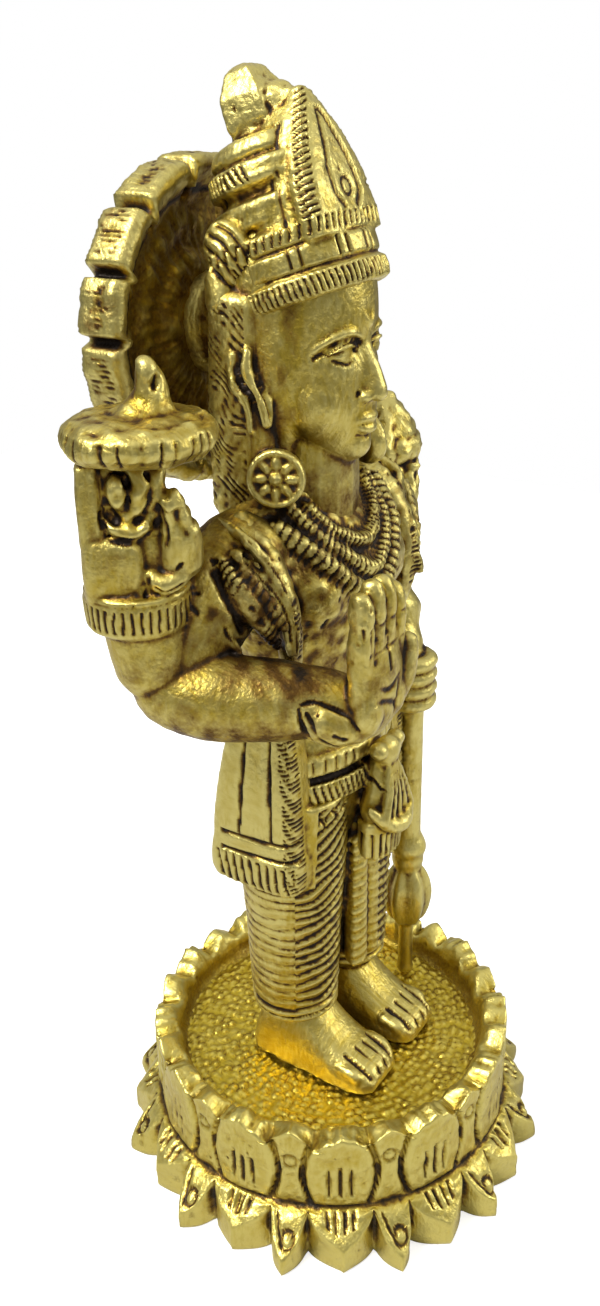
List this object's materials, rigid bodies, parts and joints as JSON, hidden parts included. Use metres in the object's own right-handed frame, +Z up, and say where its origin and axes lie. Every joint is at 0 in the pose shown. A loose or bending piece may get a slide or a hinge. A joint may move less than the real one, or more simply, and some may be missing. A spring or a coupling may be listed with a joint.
{
  "type": "vishnu figure on lotus pedestal",
  "caption": "Standing crowned Vishnu figure with halo, wheel, conch, mace and a blessing hand, in pleated cloth, on a round lotus-petal pedestal with a sunk floor; cast brass tabletop figure.",
  "frame": {"origin": "centre of the flat underside of the pedestal", "axes": "+Z up along the figure; the figure faces -Y, its right hand is towards -X"},
  "size_m": [0.0516, 0.0484, 0.1145],
  "materials": {
    "figure_brass": "cast and filed brass, satin, with dark patina in the recesses",
    "pedestal_brass": "cast and chased brass, satin, with dark patina in the grooves"
  },
  "bodies": {
    "root": {"vishnu_figure": "figure_brass", "lotus_pedestal": "pedestal_brass"}
  },
  "joints": []
}
